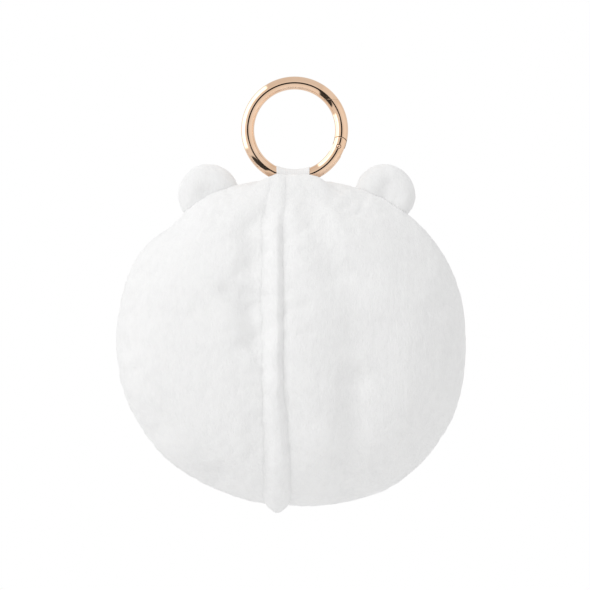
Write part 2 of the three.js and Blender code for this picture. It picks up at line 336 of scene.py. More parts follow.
def plush_material():
    """White short pile that lies down the body, in small clumps."""
    mat, tree, shader = make_material(
        "plush_pile", Roughness=0.95, Sheen_Weight=0.35, Sheen_Roughness=0.45, Specular_IOR_Level=0.1,
        Subsurface_Weight=0.25, Subsurface_Scale=0.0015, Subsurface_Radius=(1, 1, 1))
    clumps = noise_value(tree, object_place(tree, (1, 1, 0.45)), 1.6 * MM, detail=3)
    fibres = noise_value(tree, object_place(tree, (1, 1, 0.3)), 0.42 * MM, detail=3)
    patches = noise_value(tree, object_place(tree), 9 * MM)
    # The colour is partly painted shade: it is darker where the clumps and fibres sit low in the bump, in
    # the pile's hollows and between its fibres. The broad patches add random mottling of the pile's own
    # tone.
    total = calculate(tree, "ADD", calculate(tree, "ADD", clumps, patches), fibres)
    share = calculate(tree, "DIVIDE", total, 3)
    colour = ramp(tree, share, [(0.36, (0.895, 0.895, 0.895)), (0.56, (0.945, 0.945, 0.943))])
    tree.links.new(colour, shader.inputs["Base Color"])
    add_bump(tree, shader, [(clumps, 0.18 * MM), (fibres, 0.16 * MM)])
    return mat


def metal_material():
    """Polished pale rose-gold plating with the faintest brushing."""
    mat, tree, shader = make_material("rose_gold_plating", Metallic=1.0)
    place = object_place(tree)
    tone = noise_value(tree, place, 6 * MM)
    colour = ramp(tree, tone, [(0.3, (0.87, 0.62, 0.44)), (0.7, (0.92, 0.69, 0.53))])
    tree.links.new(colour, shader.inputs["Base Color"])
    wear = noise_value(tree, place, 0.7 * MM, detail=4)
    gloss = ramp(tree, wear, [(0.35, (0.02, 0.02, 0.02)), (0.75, (0.06, 0.06, 0.06))])
    tree.links.new(gloss, shader.inputs["Roughness"])
    return mat


def plain_material(name, low, high, roughness, grain, depth=0.02 * MM, **inputs):
    """A material with a fine mottled colour and grain."""
    mat, tree, shader = make_material(name, Roughness=roughness, **inputs)
    tone = noise_value(tree, object_place(tree), grain, detail=4)
    tree.links.new(ramp(tree, tone, [(0.35, low), (0.65, high)]), shader.inputs["Base Color"])
    add_bump(tree, shader, [(tone, depth)])
    return mat


def tape_material():
    """Closely woven white tape: warp and weft as crossed waves."""
    mat, tree, shader = make_material(
        "woven_tape", Roughness=0.75, Sheen_Weight=0.2, Sheen_Roughness=0.4)
    place = object_place(tree)
    waves = []
    for direction in ("X", "Z"):
        node = add_node(tree, "ShaderNodeTexWave", [("Vector", place)], Scale=560.0, Distortion=0.6)
        node.bands_direction = direction
        waves.append(node.outputs["Fac"])
    weave = calculate(tree, "MULTIPLY", *waves)
    colour = ramp(tree, weave, [(0.0, (0.88, 0.88, 0.88)), (0.8, (0.95, 0.95, 0.95))])
    tree.links.new(colour, shader.inputs["Base Color"])
    add_bump(tree, shader, [(weave, 0.03 * MM)])
    return mat


MATERIALS = {
    "plush": plush_material(),
    "metal": metal_material(),
    "tape": tape_material(),
    "fibre": plain_material("polyester_fibre", (0.8, 0.8, 0.8), (0.95, 0.95, 0.95),
                            roughness=0.9, grain=0.6 * MM, depth=0.3 * MM),
    "thread": plain_material("white_thread", (0.8, 0.8, 0.79), (0.93, 0.93, 0.92),
                             roughness=0.7, grain=0.3 * MM),
    "cord": plain_material("cotton_cord", (0.72, 0.70, 0.66), (0.88, 0.87, 0.83),
                           roughness=0.85, grain=0.5 * MM, depth=0.1 * MM),
    "steel": plain_material("spring_wire", (0.5, 0.5, 0.51), (0.66, 0.66, 0.67),
                            roughness=0.28, grain=0.2 * MM, Metallic=1.0),
    "black": plain_material("black_button", (0.004, 0.004, 0.004), (0.010, 0.010, 0.010),
                            roughness=0.05, grain=3 * MM, depth=0.001 * MM, Specular_IOR_Level=0.4),
    "washer": plain_material("moulded_washer", (0.7, 0.7, 0.68), (0.82, 0.82, 0.8),
                             roughness=0.45, grain=1 * MM),
    "stitches": plain_material("brown_embroidery", (0.030, 0.018, 0.014), (0.075, 0.048, 0.038),
                               roughness=0.45, grain=0.25 * MM, depth=0.04 * MM, Sheen_Weight=0.3),
}


def add_piece(name, mesh, material, body, node):
    """A finished piece that rides on a body and stands for a CAD node."""
    piece = add_object(name, mesh, MATERIALS[material])
    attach(piece, body)
    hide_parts(node)
    return piece


def give_material(node, mat):
    """A carried-over CAD node gets a better material."""
    mesh = frame["nodes"][node].data
    mesh.materials.clear()
    mesh.materials.append(mat)


# ---------------------------------------------------------------- body shape

# Where the sewn outline leaves the ideal one: angle and width in degrees, and how far out in metres.
OUTLINE_FEATURES = (
    (135, 9, -2.1 * MM),         # flatter under the left ear
    (212, 14, -1.1 * MM),        # sloping lower left
    (240, 16, -1.6 * MM),
    (300, 22, 1.35 * MM),        # fuller lower right
    (335, 12, 0.5 * MM),
)
SWELL = 1.4 * MM                 # how far the filling pushes the cloth out between the seams
RIM_SWELL = -0.15 * MM           # the same at the outline, less what the pile adds there
BODY_VOXEL = 1.35 * MM
EDGE_HELD = 1.2 * MM             # half-widths of the strips that the seams hold while the body is filled
RIDGE_HELD = 1.6 * MM
TOP_BEND = 1.8 * MM              # how far the ridge goes to the right at its top, towards the tab
LOW_BEND = 1.3 * MM              # the same at its bottom, towards the body's middle
VALLEY_RADIUS = 3.75 * MM        # the hollow in which the tab's loop turns
VALLEY_HALF = 9.5 * MM
HUMP_TOP = -13.9 * MM            # the top edge beside the tab, just in front of and behind the wire
HUMP_Y = 6.2 * MM
HUMP_HALF = 2.8 * MM
HUMP_SLOPE = 1.6 * MM            # how much lower a hump is at its ends


def outline_change(x, z):
    """How much further out than ideal the outline is, at places given from the body's centre."""
    angle = np.degrees(np.arctan2(z, x)) % 360
    total = np.zeros(len(x))
    for middle, width, height in OUTLINE_FEATURES:
        total += height * hill((angle - middle + 180) % 360 - 180, width)
    return total


def gauge(points, width, height, depth, outline=OUTLINE_POWER, profile=PROFILE_POWER):
    """How far out points lie in a pillow shape: 1 on its surface."""
    across = np.abs(points[:, 0]) / width
    up = np.abs(points[:, 2]) / height
    outward = (across ** outline + up ** outline) ** (1 / outline)
    deep = np.abs(points[:, 1]) / depth
    return (outward ** profile + deep ** profile) ** (1 / profile)


def ball_mesh(subdivisions):
    """A unit ball of even triangles."""
    mesh = bpy.data.meshes.new("ball")
    work = bmesh.new()
    bmesh.ops.create_icosphere(work, subdivisions=subdivisions, radius=1)
    work.to_mesh(mesh)
    work.free()
    return mesh


def body_form():
    """The body's pillow before it is filled out, a little small."""
    mesh = ball_mesh(6)
    points = coordinates(mesh)
    points /= gauge(points, HALF_WIDTH - RIM_SWELL, HALF_HEIGHT - RIM_SWELL, HALF_DEPTH - SWELL)[:, None]
    run = np.hypot(points[:, 0], points[:, 2])
    swell = 1 + outline_change(points[:, 0], points[:, 2]) / HALF_WIDTH * (run / HALF_WIDTH) ** 2
    points[:, 0] *= swell
    points[:, 2] *= swell
    set_coordinates(mesh, points + np.array(BODY_CENTRE))
    return remeshed(mesh, BODY_VOXEL)


def ridge_line(z):
    """The ridge's X at a height."""
    top = smooth_step(z, -25 * MM, -18 * MM)
    bottom = smooth_step(-z, 78 * MM, 100 * MM)
    return RIDGE_X + TOP_BEND * top + LOW_BEND * bottom


def filled_out(mesh, pinned, pressure, cap, slack):
    """A cloth mesh swollen by its filling, with pinned vertices held and no point moved further than cap."""
    least_pinned = 0.02
    frames = 20
    thing = bpy.data.objects.new("swelling", mesh)
    scene = bpy.context.scene
    scene.collection.objects.link(thing)
    group = thing.vertex_groups.new(name="pinned")
    for index in np.nonzero(pinned > least_pinned)[0]:
        group.add([int(index)], float(pinned[index]), "REPLACE")
    before = coordinates(mesh)
    cloth = thing.modifiers.new("Cloth", "CLOTH")
    settings = cloth.settings
    settings.quality = 6
    settings.mass = 0.15
    settings.tension_stiffness = 15
    settings.compression_stiffness = 15
    settings.shear_stiffness = 8
    settings.bending_stiffness = 0.3
    settings.use_pressure = True
    settings.uniform_pressure_force = pressure
    settings.effector_weights.gravity = 0
    settings.vertex_group_mass = "pinned"
    settings.shrink_min = -slack
    cloth.collision_settings.use_collision = False
    for number in range(1, frames + 1):
        scene.frame_set(number)
    swollen = applied(thing)
    after = coordinates(swollen)
    bpy.data.objects.remove(thing)
    scene.frame_set(1)
    move = after - before
    length = np.linalg.norm(move, axis=1)
    move *= (np.minimum(length, cap) / np.maximum(length, 1e-9))[:, None]
    set_coordinates(swollen, before + move)
    return swollen


def swollen_body():
    """The body's skin after it is filled: the seams hold it in."""
    mesh = body_form()
    points = coordinates(mesh)
    rim = hill(points[:, 1], EDGE_HELD)
    ridge = hill(points[:, 0] - ridge_line(points[:, 2]), RIDGE_HELD) * (points[:, 1] < 0)
    pinned = np.maximum(rim, ridge)
    mesh = filled_out(mesh, pinned, pressure=5.0, cap=2.5 * MM, slack=0.01)
    return subdivided(mesh)


# Tucks and soft folds in the back, as valleys: X and Z of both ends, width and depth, in millimetres.
BACK_FOLDS = (
    (-13.0, -51, -11.5, -63, 5.0, 2.3),
    (-20.5, -50, -13.5, -57, 2.6, 1.3),
    (-12.5, -60.5, -9.5, -70, 2.4, 0.8),
    (-8.5, -61, -16.0, -67, 2.2, 0.7),
    (-8.5, -74, -12.5, -68, 2.0, 0.9),
    (-8.5, -52, -13.5, -55, 2.2, 0.6),
    (-13.0, -37, -12.0, -43, 4.2, 1.8),
    (-9.0, -38, -17.5, -44.5, 2.6, 0.8),
    (-8.5, -26, -15.0, -31, 3.0, 1.1),
    (-2.5, -34, 4.0, -30, 1.8, 0.6),
    (-2.5, -56, 3.5, -54, 1.8, 0.5),
    (-2.5, -84, 4.5, -90, 2.6, 0.8),
    (4.0, -21, 12.0, -44, 4.2, 1.2),
    (17.0, -45, 18.5, -74, 6.0, 1.3),
    (18.5, -78, 18.0, -112, 5.0, 2.2),
    (26.0, -62, 26.0, -100, 5.5, 0.8),
    (-26.0, -101, -17.0, -108, 3.0, 0.5),
    (-41.0, -88, -30.0, -99, 4.0, 0.5),
    (30.0, -28, 40.0, -40, 4.0, 0.5),
)
EDGE_SEAM = (0.9 * MM, 0.9 * MM)     # the outline seam's half-width and depth
RIDGE_GROOVES = (                # along the ridge: how far to its right, half-width and depth
    (0, 4.2 * MM, 0.4 * MM),
    (3.8 * MM, 1.5 * MM, 0.35 * MM),
)
EYE_PULL = (7 * MM, 0.9 * MM)    # the half-width and depth of the dimples that the eyes' shanks draw in
LUMPS = (26 * MM, 0.35 * MM)     # the size and height of the filling's broad lumps, and of the cloth's own
RIPPLES = (9 * MM, 0.07 * MM)
PILE_HEIGHT = 0.09 * MM
PILE_CLUMP = np.array([1.9, 1.9, 3.4]) * MM
PILE_TUFT = np.array([1.1, 1.1, 1.9]) * MM


def fold_depth(x, z, fold):
    """How deep a fold is at places on the body."""
    x1, z1, x2, z2, width, depth = (value * MM for value in fold)
    along = np.array([x2 - x1, z2 - z1])
    length = np.linalg.norm(along)
    along /= length
    run = (x - x1) * along[0] + (z - z1) * along[1]
    off = (z - z1) * along[0] - (x - x1) * along[1]
    beyond = np.maximum(np.maximum(-run, run - length), 0)
    return depth * hill(np.hypot(off, beyond), width)


def tab_hollow(points):
    """The hollow for the tab's loop at the top of the body, between two low humps."""
    x, y, z = points.T
    off = np.abs(x - TAB_X)
    rise = HUMP_TOP - (z + HUMP_SLOPE * smooth_step(off, 4 * MM, 12 * MM))
    hump = hill(np.abs(y) - HUMP_Y, HUMP_HALF) * (1 - smooth_step(off, 7 * MM, 15 * MM))
    z = z + np.maximum(rise, 0) * hump * (z > -24 * MM)
    inside = np.maximum(VALLEY_RADIUS ** 2 - y ** 2, 0)
    bottom = WIRE_BOTTOM - np.sqrt(inside)
    share = (1 - smooth_step(off, VALLEY_HALF - 1.5 * MM, VALLEY_HALF + 1.5 * MM)) * (inside > 0)
    lowered = np.where(z > -30 * MM, np.minimum(z, bottom), z)
    return np.column_stack([x, y, z + (lowered - z) * share])


def body_features(mesh):
    """Seams, tucks and soft folds of the filled body, then its pile."""
    points = coordinates(mesh)
    normals = vertex_normals(mesh)
    x, y, z = points.T
    back = smooth_step(-y, 0.5 * MM, 3 * MM)
    inner = smooth_step(np.abs(y), 2 * MM, 12 * MM)
    width, depth = EDGE_SEAM
    out = -depth * hill(y, width)
    for right, width, depth in RIDGE_GROOVES:
        out -= depth * hill(x - ridge_line(z) - right, width) * back
    for fold in BACK_FOLDS:
        out -= fold_depth(x, z, fold) * back
    width, depth = EYE_PULL
    for node in ("eye_left", "eye_right"):
        eye = box_middle(node)
        out -= depth * hill(np.hypot(x - eye.x, z - eye.z), width) * (y > 0)
    size, height = LUMPS
    out += height * noise(points, size, 1) * inner
    size, height = RIPPLES
    out += height * noise(points, size, 2)
    points = tab_hollow(points + normals * out[:, None])
    set_coordinates(mesh, points)
    add_pile(mesh)


def add_pile(mesh, height=PILE_HEIGHT):
    """The pile's soft clumps, lying down the piece."""
    points = coordinates(mesh)
    push_out(mesh, height * (noise(points, PILE_CLUMP, 3) + 0.7 * noise(points, PILE_TUFT, 4)))


def cut(mesh, place, normal):
    """The part of a mesh on the normal's side of a plane."""
    work = bmesh.new()
    work.from_mesh(mesh)
    everything = work.verts[:] + work.edges[:] + work.faces[:]
    bmesh.ops.bisect_plane(work, geom=everything, plane_co=place, plane_no=normal, clear_inner=True)
    part = bpy.data.meshes.new("part")
    work.to_mesh(part)
    work.free()
    return part


def cut_at_ridge(mesh, side):
    """The part of a back panel on one side of the ridge: -1 is left and 1 right."""
    part = mesh.copy()
    points = coordinates(part)
    points[:, 0] -= ridge_line(points[:, 2]) - RIDGE_X
    set_coordinates(part, points)
    part = cut(part, (RIDGE_X, 0, 0), (side, 0, 0))
    points = coordinates(part)
    points[:, 0] += ridge_line(points[:, 2]) - RIDGE_X
    set_coordinates(part, points)
    return part


def add_panel(name, mesh, node, thickness=CLOTH):
    """One sewn panel, with its cloth's thickness, in place of a CAD node."""
    piece = add_piece(name, solidified(mesh, thickness), "plush", "plush", node)


skin = swollen_body()
body_features(skin)
skin_tree = BVHTree.FromPolygons([v.co for v in skin.vertices], [p.vertices for p in skin.polygons])

add_panel("plush_front", cut(skin, (0, 0, 0), (0, 1, 0)), "front_panel")
back_skin = cut(skin, (0, 0, 0), (0, -1, 0))
add_panel("plush_back_left", cut_at_ridge(back_skin, -1), "back_panel_left")
add_panel("plush_back_right", cut_at_ridge(back_skin, 1), "back_panel_right")

# ---------------------------------------------------------------- filling and inner pieces

FILLING_GAP = 1.9 * MM           # from the skin's outside to the filling
FILLING_VOXEL = 2.2 * MM
FIBRE_CLUMP = (5 * MM, 0.3 * MM)     # the size and height of the loose fibre's clumps


def add_filling(name, mesh, node, gap=FILLING_GAP):
    """The loose fibre inside a skin, clear of its inner side."""
    inner = mesh.copy()
    set_coordinates(inner, coordinates(mesh) - vertex_normals(mesh) * gap)
    inner = remeshed(inner, FILLING_VOXEL)
    size, height = FIBRE_CLUMP
    push_out(inner, height * noise(coordinates(inner), size, 5))
    piece = add_piece(name, inner, "fibre", "plush", node)


add_filling("loose_filling", skin, "body_filling")

# ---------------------------------------------------------------- ridge

RIDGE_STEPS = 240
RIDGE_SIDES = 64
RIDGE_TOP_ANGLE = 84.5           # from the body's middle, above and below straight back
RIDGE_END_ANGLE = -84
RIDGE_SMOOTHING = 60             # passes that even out the path over the folds
RIDGE_HALF_WIDTH = 2.35 * MM
RIDGE_WIDER = (                  # from what share of its run to what share it widens, and by how much
    (0.65, 0.85, 0.35 * MM),
    (0.88, 0.945, 0.2 * MM),
)
RIDGE_HEIGHT = 1.7 * MM
RIDGE_TOP_HEIGHT = 0.16          # the share of its height that it starts with
RIDGE_RISEN = 0.18               # the share of its run by which it has its whole height
RIDGE_UNEVEN = 0.22 * MM         # how much its half-width and its height vary along it
RIDGE_LUMPY = 0.20 * MM
RIDGE_REACH = 1.6                # how many half-widths the welt spreads on to the panels each side
RIDGE_INTO = 0.06 * MM           # how far the welt's edges lie under the panels' pile
RIDGE_UNDER = 0.8 * MM           # how far its underside goes below the panels' face
RIDGE_PILE = 0.07 * MM
NOISE_LENGTH = 130 * MM          # the length of noise that the whole ridge runs through
NUB_STEPS = 14
NUB_TIP = np.array([0.0, 0.6, -3.4]) * MM
NUB_HEIGHT = 2.2 * MM
NUB_FLARE = 0.3                  # how much wider its underside is
NUB_BLEND = 0.885                # the shares of the run where the welt starts to turn into the nub,
NUB_RUN = 0.945                  # and where it is all nub and starts to close
NUB_CLOSE = 0.78                 # how much narrower it is at its tip
CORD_RUN = (0.12, 0.92)          # the shares of the run between which the cord lies
CORD_RADIUS = 0.6 * MM
CORD_PLACE = (-0.5 * MM, 0.05 * MM)  # how far to the left of the path and above it


def ridge_path():
    """Points along the ridge on the skin, from its top to the nub's tip, and their outward directions."""
    places, outwards = [], []
    for angle in np.radians(np.linspace(RIDGE_TOP_ANGLE, RIDGE_END_ANGLE, RIDGE_STEPS)):
        direction = Vector((0, -math.cos(angle), math.sin(angle)))
        x = RIDGE_X
        for _ in range(3):
            hit = skin_tree.ray_cast(Vector((x, 0, BODY_CENTRE.z)), direction)[0]
            x = float(ridge_line(hit.z))
        places.append(hit)
        outwards.append(direction)
    places = np.array(places)
    shares = np.linspace(0, 1, NUB_STEPS + 1)[1:, None]
    places = smoothed(np.vstack([places, places[-1] + NUB_TIP * shares]), RIDGE_SMOOTHING)
    outwards = np.vstack([np.array(outwards), np.repeat([outwards[-1]], NUB_STEPS, axis=0)])
    return places, outwards


def smoothed(rows, passes):
    """Rows of numbers evened out along their length, with the ends kept."""
    rows = rows.copy()
    for _ in range(passes):
        rows[1:-1] = (rows[:-2] + 2 * rows[1:-1] + rows[2:]) / 4
    return rows


def directions(places, outwards):
    """The sideways and upward directions at each place on a path."""
    tangents = np.gradient(places, axis=0)
    tangents /= np.linalg.norm(tangents, axis=1)[:, None]
    sides = np.cross(tangents, outwards)
    sides /= np.linalg.norm(sides, axis=1)[:, None]
    return sides, np.cross(sides, tangents)


def sweep(places, outwards, across, up):
    """Rings of points along a path. across and up are each ring's points: arrays of steps by sides."""
    sides, ups = directions(places, outwards)
    return places[:, None] + across[:, :, None] * sides[:, None] + up[:, :, None] * ups[:, None]


def yarn(name, places, outwards, radius, strands, depth, twist, sides, place=(0, 0)):
    """A twisted yarn along a path, shifted to a place beside and above it. depth is how deep the grooves
    between its strands are, as a share of its radius, and twist how far they turn at each step."""
    turn = full_turn(sides)
    start = twist * np.arange(len(places))[:, None]
    radius = radius * (1 + depth * np.cos(strands * (turn - start)))
    across, up = radius * np.cos(turn) + place[0], radius * np.sin(turn) + place[1]
    return tube(name, sweep(places, outwards, across, up))


def along(values, wavelength, seed):
    """Noise along a line: values are distances along it."""
    return noise(np.column_stack([values, values * 0, values * 0]), wavelength, seed)


RIDGE_PLACES, RIDGE_OUTWARDS = ridge_path()
RIDGE_RUN = np.linspace(0, 1, len(RIDGE_PLACES))
RIDGE_CLOSE = 1 - NUB_CLOSE * np.clip((RIDGE_RUN - NUB_RUN) / (1 - NUB_RUN), 0, 1) ** 2


def welt_rise(share):
    """The welt's height at shares of its half-width, with the left positive: soft there, steeper right."""
    return smooth_step(-share, -1.6, 0.1) * smooth_step(share, -1.55, -0.5)


def over_skin(places, ups):
    """How high the skin is over each of the given places, along the ups."""
    reach = 6 * MM
    heights = np.zeros(places.shape[:2])
    for row, column in np.ndindex(heights.shape):
        start = Vector(places[row, column] + reach * ups[row])
        distance = skin_tree.ray_cast(start, Vector(-ups[row]), 2 * reach)[3]
        if distance is not None:
            heights[row, column] = reach - distance
    return heights


def add_ridge():
    """The soft welt of folded-over cloth that lies on the panels, and ends in a nub under the body."""
    distance = RIDGE_RUN * NOISE_LENGTH
    half_width = RIDGE_HALF_WIDTH + RIDGE_UNEVEN * along(distance, 8 * MM, 11)
    for start, end, wider in RIDGE_WIDER:
        half_width += wider * smooth_step(RIDGE_RUN, start, end)
    height = RIDGE_HEIGHT + RIDGE_LUMPY * along(distance, 6 * MM, 12)
    height *= RIDGE_TOP_HEIGHT + (1 - RIDGE_TOP_HEIGHT) * smooth_step(RIDGE_RUN, 0.0, RIDGE_RISEN)
    turn = full_turn(RIDGE_SIDES)
    cosine, sine = np.cos(turn), np.sin(turn)

    spread = RIDGE_REACH * cosine * half_width[:, None]
    sides, ups = directions(RIDGE_PLACES, RIDGE_OUTWARDS)
    base = over_skin(RIDGE_PLACES[:, None] + spread[:, :, None] * sides[:, None], ups)
    lying = np.where(sine > -0.001, height[:, None] * welt_rise(RIDGE_REACH * cosine), RIDGE_UNDER * sine)
    lying = lying + base - RIDGE_INTO

    flare = 1 + NUB_FLARE * np.clip(1 - sine, 0, 1) ** 2
    round_across = cosine * flare * (half_width * RIDGE_CLOSE)[:, None]
    round_up = sine * (NUB_HEIGHT * RIDGE_CLOSE)[:, None]
    nub = smooth_step(RIDGE_RUN, NUB_BLEND, NUB_RUN)[:, None]
    across = spread * (1 - nub) + round_across * nub
    up = lying * (1 - nub) + round_up * nub
    mesh = tube("ridge", sweep(RIDGE_PLACES, RIDGE_OUTWARDS, across, up))
    add_pile(mesh, RIDGE_PILE)
    piece = add_piece("ridge_welt", mesh, "plush", "plush", "ridge_cover")


def add_ridge_cord():
    """The three-strand cord inside the welt."""
    start, end = (int(share * len(RIDGE_PLACES)) for share in CORD_RUN)
    mesh = yarn("core", RIDGE_PLACES[start:end], RIDGE_OUTWARDS[start:end], CORD_RADIUS, strands=3,
                depth=0.14, twist=math.radians(15), sides=18, place=CORD_PLACE)
    add_piece("ridge_core", mesh, "cord", "plush", "ridge_cord")


add_ridge()
add_ridge_cord()

# ---------------------------------------------------------------- edge thread

THREAD_STEPS = 480
THREAD_RADIUS = 0.2 * MM
THREAD_SUNK = 0.5 * MM           # how far it lies under the seam's bottom
STITCH_SWELL = 0.2               # how much thicker the thread is in the middle of a stitch, as a share
STITCH_TURN = 2.1                # stitches go by at this many radians a step


def add_edge_thread():
    """The thread at the bottom of the seam round the outline."""
    places, outwards = [], []
    for angle in np.linspace(0, 2 * math.pi, THREAD_STEPS):
        direction = Vector((math.cos(angle), 0, math.sin(angle)))
        hit = skin_tree.ray_cast(Vector(BODY_CENTRE), direction)[0]
        places.append(hit - direction * THREAD_SUNK)
        outwards.append(direction)
    turn = full_turn(8)
    radius = THREAD_RADIUS * (1 + STITCH_SWELL * np.cos(np.arange(THREAD_STEPS) * STITCH_TURN))[:, None]
    sections = sweep(np.array(places), np.array(outwards), radius * np.cos(turn), radius * np.sin(turn))
    add_piece("edge_stitching", tube("stitching", sections), "thread", "plush", "edge_seam_thread")


add_edge_thread()

# ---------------------------------------------------------------- ears

EAR_RADIUS = 9.6 * MM
EAR_HALF_DEPTH = 4.6 * MM
EAR_CLOTH = 1.0 * MM
EAR_FILLING_GAP = 1.3 * MM
EAR_SEWN_IN = 0.93               # how far into the body an ear goes, as a share of the way out to its skin
EAR_SEAM = (0.8 * MM, 0.5 * MM)      # half-width and depth
EAR_GATHERS = (1.6 * MM, 0.35 * MM)  # where it is sewn in: the length of a radian of its waves, and height
EAR_HOLLOW = (4 * MM, 0.8 * MM)      # the hollow in its front: half-width and depth
EAR_LUMPS = (7 * MM, 0.25 * MM)
EAR_CREASES = {                  # like BACK_FOLDS, but from the ear's middle
    "left": ((-0.5, 1.0, 2.5, -3.5, 2.4, 1.2), (-3.0, -1.0, -1.0, -5.0, 2.0, 0.5)),
    "right": ((0.8, 2.0, -2.0, -3.5, 2.6, 1.2), (3.5, -0.5, 1.5, -5.5, 2.0, 0.6)),
}


def ear_mesh(side):
    """An ear's small pillow, pinched where it is sewn in, dimpled behind."""
    low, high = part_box(f"ear_back_{side}")
    centre = np.array([(low.x + high.x) / 2, 0, high.z - EAR_RADIUS])
    mesh = ball_mesh(5)
    points = coordinates(mesh)
    points /= gauge(points, EAR_RADIUS, EAR_RADIUS, EAR_HALF_DEPTH, outline=2.05, profile=2.3)[:, None]
    outward = np.array([centre[0] - BODY_CENTRE.x, 0, centre[2] - BODY_CENTRE.z])
    outward /= np.linalg.norm(outward)
    reach = points @ outward / EAR_RADIUS
    points[:, 1] *= 0.5 + 0.5 * smooth_step(reach, -0.75, 0.2)
    across = points @ np.array([outward[2], 0, -outward[0]])
    x, y, z = points.T
    back = smooth_step(-y, 0, 1.5 * MM)
    width, depth = EAR_SEAM
    out = -depth * hill(y, width)
    width, height = EAR_GATHERS
    out += height * np.cos(across / width) * (1 - smooth_step(reach, -0.6, -0.1))
    for crease in EAR_CREASES[side]:
        out -= fold_depth(x, z, crease) * back
    width, depth = EAR_HOLLOW
    out -= depth * hill(np.hypot(x, z), width) * (1 - back)
    set_coordinates(mesh, points)
    normals = vertex_normals(mesh)
    points = points + normals * out[:, None] + centre
    size, height = EAR_LUMPS
    points += normals * (height * noise(points, size, 21))[:, None]
    set_coordinates(mesh, points)
    add_pile(mesh)
    return mesh


def outside_body(mesh):
    """The part of an ear's mesh outside the body, and just into its seam."""
    work = bmesh.new()
    work.from_mesh(mesh)
    middles = np.array([f.calc_center_median() for f in work.faces]) - np.array(BODY_CENTRE)
    inside = gauge(middles, HALF_WIDTH, HALF_HEIGHT, HALF_DEPTH) < EAR_SEWN_IN
    unwanted = [f for f, gone in zip(work.faces, inside) if gone]
    bmesh.ops.delete(work, geom=unwanted, context="FACES")
    part = bpy.data.meshes.new("ear")
    work.to_mesh(part)
    work.free()
    return part


def add_ear(side):
    """An ear's two pieces of cloth and its filling."""
    shell = outside_body(ear_mesh(side))
    for face, outward in (("back", -1), ("front", 1)):
        half = cut(shell, (0, 0, 0), (0, outward, 0))
        add_panel(f"ear_{side}_{face}", half, f"ear_{face}_{side}", EAR_CLOTH)
    add_filling(f"ear_{side}_filling", shell, f"ear_filling_{side}", EAR_FILLING_GAP)


for side in ("left", "right"):
    add_ear(side)

# ---------------------------------------------------------------- tab

TAB_THICKNESS = 0.55 * MM
TAB_ROOT_Z = -26 * MM
TAB_LOOP_RADIUS = WIRE_RADIUS + 0.45 * MM
TAB_LEG_Y = 0.42 * MM
TAB_NECK = 1.2 * MM              # the height in which the loop narrows to the two legs
LOOP_TURN = math.pi - math.asin(0.35)    # how far round the wire the loop goes, each way from its top
LOOP_STEPS = 72
LEG_STEPS = 24
TAB_COLUMNS = 41


def tab_profile():
    """The tab's middle line as (Y, Z) from one leg's end, round the wire, to the other."""
    turns = np.linspace(-LOOP_TURN, LOOP_TURN, LOOP_STEPS)
    loop = np.column_stack([np.sin(turns), np.cos(turns)]) * TAB_LOOP_RADIUS
    loop[:, 1] += WIRE_BOTTOM
    leg_z = np.linspace(TAB_ROOT_Z, loop[0, 1] - TAB_NECK, LEG_STEPS)
    back_leg = np.column_stack([np.full(LEG_STEPS, -TAB_LEG_Y), leg_z])
    front_leg = np.column_stack([np.full(LEG_STEPS, TAB_LEG_Y), leg_z])[::-1]
    return smoothed(np.vstack([back_leg, loop, front_leg]), 6)


def add_tab():
    """The flat tape folded round the wire, its two ends sewn into the top seam."""
    profile = tab_profile()
    across = np.linspace(-TAB_WIDTH / 2, TAB_WIDTH / 2, TAB_COLUMNS)
    points = np.empty((len(profile), TAB_COLUMNS, 3))
    points[:, :, 0] = across + TAB_X
    points[:, :, 1] = profile[:, :1]
    follow = smooth_step(profile[:, 1], WIRE_BOTTOM - 6 * MM, WIRE_BOTTOM - 2 * MM)
    rise = RING_RADIUS - np.sqrt(RING_RADIUS ** 2 - (across + TAB_X) ** 2)
    points[:, :, 2] = profile[:, 1:] + follow[:, None] * rise
    mesh = mesh_from("tab", points.reshape(-1, 3), grid_faces(len(profile), TAB_COLUMNS, wrap=False))
    piece = add_object("tab_tape", solidified(mesh, TAB_THICKNESS), MATERIALS["tape"])
    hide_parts("hanging_tab", "tab_root")
    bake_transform(piece)


# ---------------------------------------------------------------- ring

RING_GAP = 0.22 * MM             # what shows between the hinge's pieces
LATCH_GAP = 0.02 * MM            # half the gap where the gate closes
CHEEK_RADIUS = 2.9 * MM          # round the pin
TONGUE_RADIUS = 1.8 * MM
TONGUE_HALF = 0.6 * MM
PIN_RADIUS = 0.6 * MM
PIN_HALF = 1.85 * MM
PIN_GAP = 0.16 * MM              # round the pin's head in the cheeks
TONGUE_PLAY = 0.03 * MM          # round the pin in the tongue
LATCH_ANGLE = math.radians(40)
LATCH_Z = RING_RADIUS * math.sin(LATCH_ANGLE)
HINGE_ANGLE = math.atan2(HINGE.z, HINGE.x)
EDGE = 0.09 * MM                 # rounding of the metal's edges
THROUGH = 3 * WIRE_RADIUS        # half the depth of a shape that cuts right through the wire


def whole_wire(around=360, sides=64):
    """The ring's wire, closed all the way round."""
    turn = full_turn(around)[:, None]
    side = full_turn(sides)[None]
    run = RING_RADIUS + WIRE_RADIUS * np.cos(side)
    y = WIRE_RADIUS * np.sin(side) + 0 * turn
    points = np.stack([run * np.cos(turn), y, run * np.sin(turn)], axis=2)
    return mesh_from("wire", points.reshape(-1, 3), grid_faces(around, sides, wrap=True, closed=True))


def prism(outline, half):
    """A shape drawn in XZ, thickened by half each way along Y."""
    count = len(outline)
    points = [(x, y, z) for y in (-half, half) for x, z in outline]
    faces = [range(count), range(count, 2 * count)]
    faces += [(i, (i + 1) % count, count + (i + 1) % count, count + i) for i in range(count)]
    return mesh_from("prism", points, faces)


def disc_outline(radius, sides=64):
    """A circle round the hinge pin."""
    return [(HINGE.x + radius * math.cos(t), HINGE.z + radius * math.sin(t)) for t in full_turn(sides)]


